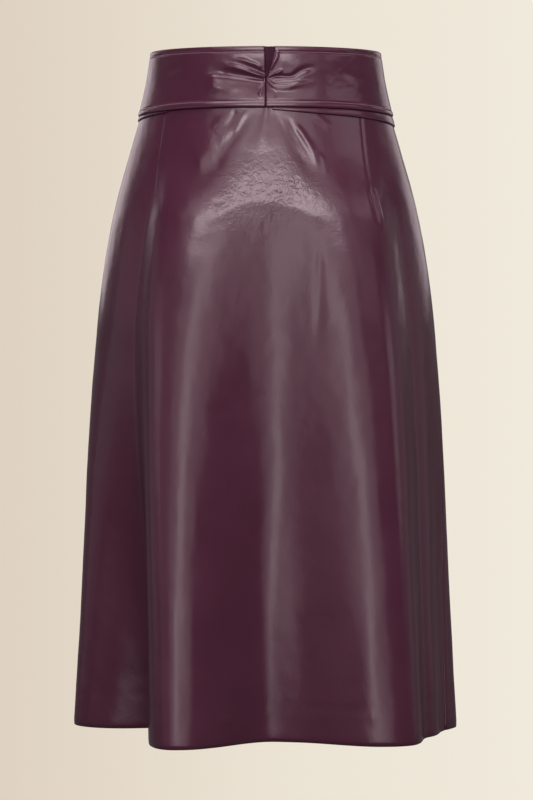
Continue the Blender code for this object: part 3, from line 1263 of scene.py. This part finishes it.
    def pieces(self) -> list[CutPiece]:
        """Shapes the three pieces.

        Returns:
            The left back, right back and front pieces.
        """
        return [
            self.piece(
                "left_back_waistband", "waistband_back_left", (CENTRE_BACK, self.left_side),
                self.back_faces, (self.slit_left, None), self.creases, CENTRE_BACK,
            ),
            self.piece(
                "right_back_waistband", "waistband_back_right", (self.right_side, CENTRE_BACK),
                self.back_faces, (None, self.slit_right), self.creases, CENTRE_BACK,
            ),
            self.piece(
                "front_waistband", "waistband_front", (self.left_side, self.right_side + FULL_TURN),
                self.front_faces, (None, None), self.front_creases, CENTRE_FRONT,
            ),
        ]

    def build(self, wardrobe: Wardrobe) -> list[bpy.types.Object]:
        """Makes the waistband and its topstitching, and joins them to the frame.

        Args:
            wardrobe: the materials.

        Returns:
            The objects.
        """
        objects = []
        for piece in self.pieces():
            made = piece.build(self.form, wardrobe, wardrobe.leather)
            piece.declare(made, self.form, "shell_leather", ())
            stitches = Topstitching(f"{piece.name}_stitches", piece, self.stitch_inset)
            objects += [made, stitches.build(self.form, wardrobe)]
        return objects


@dataclass
class Topstitching:
    """Two rows of stitches on a waistband piece, one along each long edge."""

    name: str
    piece: CutPiece
    inset: float
    pitch: float = 3.1 * MM
    length: float = 2.3 * MM
    thread: float = 0.75 * MM
    end_margin: float = 2.0 * MM     # how far from the piece's ends a row stops
    raised: float = 0.3              # how far a stitch stands off, as a share of its thread

    def build(self, form: SkirtForm, wardrobe: Wardrobe) -> bpy.types.Object:
        """Makes the stitches as one joined mesh.

        Args:
            form: the form that the piece lies on.
            wardrobe: where the thread's material comes from.

        Returns:
            The object.
        """
        surface = self.piece.surface(form)
        stitches = bmesh.new()
        for upper in (True, False):
            line = self.row(surface, upper)
            run = np.linalg.norm(np.diff(line, axis=0), axis=1)
            done = np.concatenate([[0.0], np.cumsum(run)])
            count = int((done[-1] - 2 * self.end_margin) / self.pitch)
            for middle in self.end_margin + self.pitch * (0.5 + np.arange(count)):
                half = self.length / 2
                start, end = (
                    Vector([np.interp(place, done, line[:, axis]) for axis in range(3)])
                    for place in (middle - half, middle + half)
                )
                self.add_stitch(stitches, start, end)
        mesh = bpy.data.meshes.new(self.name)
        stitches.to_mesh(mesh)
        stitches.free()
        mesh.shade_smooth()
        mesh.materials.append(wardrobe.thread)
        made = add_object(self.name, mesh)
        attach(made, BODY)
        return made

    def row(self, surface: np.ndarray, upper: bool) -> np.ndarray:
        """Finds the line that a row of stitches follows.

        Args:
            surface: the piece's outer side.
            upper: whether it is the row under the top edge.

        Returns:
            Points along the line.
        """
        height = self.piece.grid.height
        edge = height[-1] - self.inset if upper else height[0] + self.inset
        share = (edge - height[0]) / (height[-1] - height[0]) * (len(height) - 1)
        low = np.floor(share).astype(int)
        part = (share - low)[:, None]
        column = np.arange(height.shape[1])
        return surface[low, column] * (1 - part) + surface[low + 1, column] * part

    def add_stitch(self, stitches: bmesh.types.BMesh, start: Vector, end: Vector) -> None:
        """Adds one stitch, a short rounded run of thread.

        Args:
            stitches: the mesh to add to.
            start: where the thread comes out of the cloth.
            end: where it goes back in.
        """
        along = end - start
        outward = Vector((start.x, start.y, 0.0)).normalized()
        turn = along.to_track_quat("Z", "Y").to_matrix().to_4x4()
        size = Matrix.Diagonal((self.thread / 2, self.thread / 2, self.length / 2, 1.0))
        place = Matrix.Translation((start + end) / 2 + outward * self.thread * self.raised)
        bmesh.ops.create_uvsphere(
            stitches, u_segments=6, v_segments=5, radius=1.0, matrix=place @ turn @ size,
        )


@dataclass(frozen=True)
class Stretch:
    """One stretch of the narrow strip, with its height in millimetres at a few angles."""

    name: str
    node: str
    heights: tuple[tuple[float, float], ...]
    columns: int
    zero: float


@dataclass
class UnderStrip:
    """The narrow folded strip that shows under the waistband's lower edge."""

    form: SkirtForm
    band: Waistband
    wall: float = 1.0 * MM
    lift: float = 1.6 * MM
    seam_gap: float = 0.3 * MM
    rows: int = 10
    bulge: float = 0.3 * MM
    lumps: Lumps = Lumps(0.10, 15.0, 4.4)
    stretches: tuple[Stretch, ...] = (
        Stretch("left_back_under_strip", "strip_back_left",
                ((50.0, 1.2), (72.0, 3.4), (90.0, 5.0)), 60, CENTRE_BACK),
        Stretch("right_back_under_strip", "strip_back_right",
                ((-88.0, 11.2), (-70.0, 9.2), (-24.0, 5.8), (-3.0, 2.2)), 190, CENTRE_BACK),
        Stretch("front_under_strip", "strip_front",
                ((90.0, 5.0), (180.0, 8.0), (272.0, 11.2)), 220, CENTRE_FRONT),
    )

    def shape(self, stretch: Stretch) -> CutPiece:
        """Shapes one stretch of the strip.

        Args:
            stretch: which stretch.

        Returns:
            The piece.
        """
        angles, heights = np.array(stretch.heights).T
        half = self.seam_gap / 2
        levels = np.full(self.rows + 1, self.band.bottom)
        flat = self.form.grid(
            levels, lambda z: angles[0], lambda z: angles[-1],
            stretch.columns, lambda z: (half, half), stretch.zero,
        )
        tall = blend_rows(angles, heights * MM, flat.angle)
        share = np.linspace(0.0, 1.0, self.rows + 1)[:, None]
        top = self.band.bottom_at(flat.angle) - self.seam_gap
        height = top - tall * (1.0 - share)
        grid = ClothGrid(flat.angle, height, flat.across, flat.from_first, flat.from_last)
        above = tall * share
        relief = rolled_edge(above, reach=1.1 * MM, drop=0.8 * MM)
        relief += self.bulge * np.sin(math.pi * share)
        relief += self.lumps.relief(grid.across, grid.height)
        return CutPiece(stretch.name, stretch.node, grid, relief, self.lift, self.wall)

    def build(self, wardrobe: Wardrobe) -> list[bpy.types.Object]:
        """Makes the strip's three stretches and joins them to the frame.

        Args:
            wardrobe: the materials.

        Returns:
            The objects.
        """
        objects = []
        for stretch in self.stretches:
            piece = self.shape(stretch)
            made = piece.build(self.form, wardrobe, wardrobe.leather)
            held_by = (stretch.node.replace("strip", "waistband"),)
            piece.declare(made, self.form, "shell_leather", held_by)
            objects.append(made)
        return objects


@dataclass
class Underlap:
    """The flap behind the slit at the centre back."""

    form: SkirtForm
    top: float
    bottom: float = -15.0 * MM
    half_width: float = 16.0 * MM
    wall: float = 1.2 * MM
    gap: float = 0.3 * MM
    reach: float = 12.0              # degrees, past its own width at either side
    columns: int = 40
    rows: int = 49
    creases: tuple[Crease, ...] = (
        Crease("underlap_fold", Profile.TROUGH,
               ((-3.4, 38), (-3.2, 20), (-1.2, 6)), 0.5, (1.4, 1.0), (0, 0.3)),
        Crease("underlap_ridge", Profile.RIDGE,
               ((-6.2, 38), (-5.4, 24), (-3.0, 10)), 0.5, (1.2, 0.8), (0, 0.3)),
    )

    def build(self, wardrobe: Wardrobe) -> bpy.types.Object:
        """Makes the flap and joins it to the frame.

        Args:
            wardrobe: the materials.

        Returns:
            The object.
        """
        heights = np.linspace(self.bottom, self.top - self.gap, self.rows + 1)
        angles, lengths = self.form.level(0.0, -self.reach, self.reach, CENTRE_BACK)
        right, left = np.interp([-self.half_width, self.half_width], lengths, angles)
        grid = self.form.grid(
            heights, lambda z: right, lambda z: left,
            self.columns, lambda z: (0.0, 0.0), CENTRE_BACK,
        )
        relief = total_relief(self.creases, grid.across, grid.height)
        piece = CutPiece("centre_back_underlap", "back_underlap", grid, relief, 0.0, self.wall)
        # painted shade: the flap wears the darker copy of the leather that stands in for the slit's
        # shade
        made = piece.build(self.form, wardrobe, wardrobe.painted_shade_underlap)
        piece.declare(made, self.form, "underlap_leather", ("waistband_back_left",))
        return made


# ---- Studio --------------------------------------------------------------------------


@dataclass(frozen=True)
class Softbox:
    """One large soft light that faces the skirt.

    The azimuth is in degrees from the back of the skirt, positive towards the wearer's left.
    """

    name: str
    azimuth: float
    elevation: float
    distance: float
    width: float
    height: float
    radiance: float
    colour: str = "ffedf2"

    def build(self, aim: Vector) -> bpy.types.Object:
        """Makes the light.

        Args:
            aim: the point that it faces.

        Returns:
            The light's object, which the camera doesn't see.
        """
        light = bpy.data.lights.new(self.name, "AREA")
        light.shape = "RECTANGLE"
        light.size = self.width
        light.size_y = self.height
        light.energy = self.radiance * AREA_LIGHT_SHARE * self.width * self.height
        light.color = linear(self.colour)[:3]
        lamp = add_object(self.name, light)
        azimuth, elevation = math.radians(self.azimuth), math.radians(self.elevation)
        way = Vector((
            math.sin(azimuth) * math.cos(elevation),
            math.cos(azimuth) * math.cos(elevation),
            math.sin(elevation),
        ))
        lamp.location = aim + way * self.distance
        lamp.rotation_euler = way.to_track_quat("Z", "Y").to_euler()
        lamp.visible_camera = False
        return lamp


@dataclass
class Studio:
    """The pale paper sweep, the lights and the camera."""

    radius: float = 8.0              # the paper dome's
    floor: float = -2.3              # the height of the dome's flat floor
    # painted shade: the paper's glow runs from the darker left shade to the lighter right shade
    paper_left: str = "ded1c1"
    paper_middle: str = "ebe2d3"
    paper_right: str = "f0eadc"
    paper_reach: float = 1.05        # how far to either side the paper changes shade
    fill: float = 0.15
    air_colour: str = "ffeaf0"
    aim_height: float = -0.2
    softboxes: tuple[Softbox, ...] = (
        Softbox("front_softbox", 0.0, -2.0, 3.3, 0.7, 1.9, 1.6),
        Softbox("front_wide_softbox", 0.0, -2.0, 3.4, 3.0, 1.8, 0.75),
        Softbox("low_softbox", 0.0, -20.0, 3.3, 1.8, 0.6, 0.8),
        Softbox("overhead_softbox", 0.5, 23.0, 3.3, 2.35, 0.80, 6.8),
        Softbox("wide_softbox", 0.0, 28.0, 3.5, 5.5, 1.6, 0.45),
        Softbox("high_softbox", 0.0, 39.0, 3.3, 4.4, 0.8, 1.3),
        Softbox("left_rim_softbox", 151.0, 10.0, 3.3, 1.5, 1.0, 0.9),
        Softbox("left_waist_softbox", 134.0, 14.0, 3.3, 1.1, 0.6, 0.8),
        Softbox("right_rim_softbox", -143.0, 11.0, 3.3, 1.5, 1.0, 0.85),
        Softbox("left_hip_softbox", 128.0, 29.0, 3.3, 1.9, 0.8, 0.55),
        Softbox("right_hip_softbox", -128.0, 29.0, 3.3, 1.7, 0.8, 0.5),
        Softbox("left_side_softbox", 95.0, 0.0, 3.3, 2.2, 1.6, 0.22),
        Softbox("right_side_softbox", -108.0, 0.0, 3.3, 1.8, 1.6, 0.18),
        Softbox("right_high_softbox", -68.0, 30.0, 3.3, 1.9, 0.7, 1.15),
        Softbox("right_quarter_softbox", -46.0, 11.0, 3.3, 1.7, 0.7, 0.5),
        Softbox("right_strip_softbox", -82.0, 1.0, 3.3, 1.1, 0.6, 1.0),
        Softbox("left_strip_softbox", 66.0, 2.0, 3.3, 1.8, 0.6, 0.75),
        Softbox("left_quarter_softbox", 46.0, -2.0, 3.3, 2.4, 1.8, 0.22),
        Softbox("top_softbox", 20.0, 78.0, 3.4, 2.6, 2.6, 3.8),
    )
    # The camera's place is in metres, its tilt down in degrees and its lens in millimetres.
    camera_distance: float = 3.2
    camera_height: float = -0.2152
    camera_side: float = -0.0009
    camera_tilt: float = 2.436
    lens: float = 128.1

    def paper(self) -> bpy.types.Material:
        """Builds the paper's own soft glow, with painted shade that makes it a little darker on one
        side.

        Returns:
            The material.
        """
        material, tree, place = new_material("studio_paper")
        across = add_node(tree, "ShaderNodeSeparateXYZ", links={"Vector": place}).outputs["X"]
        share = add_node(
            tree, "ShaderNodeMapRange",
            {"From Min": self.paper_reach, "From Max": -self.paper_reach}, {"Value": across},
        ).outputs["Result"]
        ramp = add_node(tree, "ShaderNodeValToRGB", links={"Fac": share})
        ramp.color_ramp.elements[0].color = linear(self.paper_left)
        ramp.color_ramp.elements[1].color = linear(self.paper_right)
        ramp.color_ramp.elements.new(0.5).color = linear(self.paper_middle)
        add_shader(tree, "ShaderNodeEmission", {}, {"Color": ramp.outputs["Color"]})
        return material

    def sweep(self) -> bpy.types.Object:
        """Makes the paper: a wide dome over a flat floor, seen only by the camera.

        Returns:
            The object.
        """
        mesh = bpy.data.meshes.new("paper_sweep")
        dome = bmesh.new()
        bmesh.ops.create_uvsphere(dome, u_segments=96, v_segments=48, radius=self.radius)
        bmesh.ops.reverse_faces(dome, faces=dome.faces[:])
        for corner in dome.verts:
            corner.co.z = max(corner.co.z, self.floor)
        dome.to_mesh(mesh)
        dome.free()
        mesh.shade_smooth()
        mesh.materials.append(self.paper())
        sweep = add_object("paper_sweep", mesh)
        sweep.visible_diffuse = False
        sweep.visible_glossy = False
        sweep.visible_transmission = False
        sweep.visible_shadow = False
        return sweep

    def camera(self) -> bpy.types.Object:
        """Makes the camera behind the skirt and looks through it.

        Returns:
            The camera's object.
        """
        lens = bpy.data.cameras.new("camera")
        lens.sensor_width = 36.0
        lens.lens = self.lens
        lens.clip_end = 40.0
        camera = add_object("camera", lens)
        camera.location = (self.camera_side, self.camera_distance, self.camera_height)
        camera.rotation_euler = (math.radians(90.0 - self.camera_tilt), 0.0, math.pi)
        bpy.context.scene.camera = camera
        return camera

    def build(self) -> None:
        """Makes the whole studio."""
        self.camera()
        self.sweep()
        aim = Vector((0.0, 0.0, self.aim_height))
        for softbox in self.softboxes:
            softbox.build(aim)
        world = bpy.data.worlds.new("studio_air")
        world.use_nodes = True
        air = world.node_tree.nodes["Background"]
        air.inputs["Color"].default_value = linear(self.air_colour)
        air.inputs["Strength"].default_value = self.fill
        bpy.context.scene.world = world
        bpy.context.scene.view_settings.view_transform = "Standard"


def main() -> None:
    """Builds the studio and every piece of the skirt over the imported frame."""
    logging.basicConfig(level=logging.INFO, format="%(name)s: %(message)s")
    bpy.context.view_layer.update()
    Studio().build()
    panel_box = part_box("back")
    band_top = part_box("waistband_back_left")[1].z
    form = SkirtForm(panel_top=panel_box[1].z, hem=panel_box[0].z)
    wardrobe = Wardrobe.stock()
    band = Waistband(form, band_top)
    made = SkirtPanels(form).build(wardrobe)
    made += band.build(wardrobe)
    made += UnderStrip(form, band).build(wardrobe)
    made.append(Underlap(form, band_top).build(wardrobe))
    for piece in made:
        log.info("%s: %d faces", piece.name, len(piece.data.polygons))


if __name__ == "__main__":
    main()
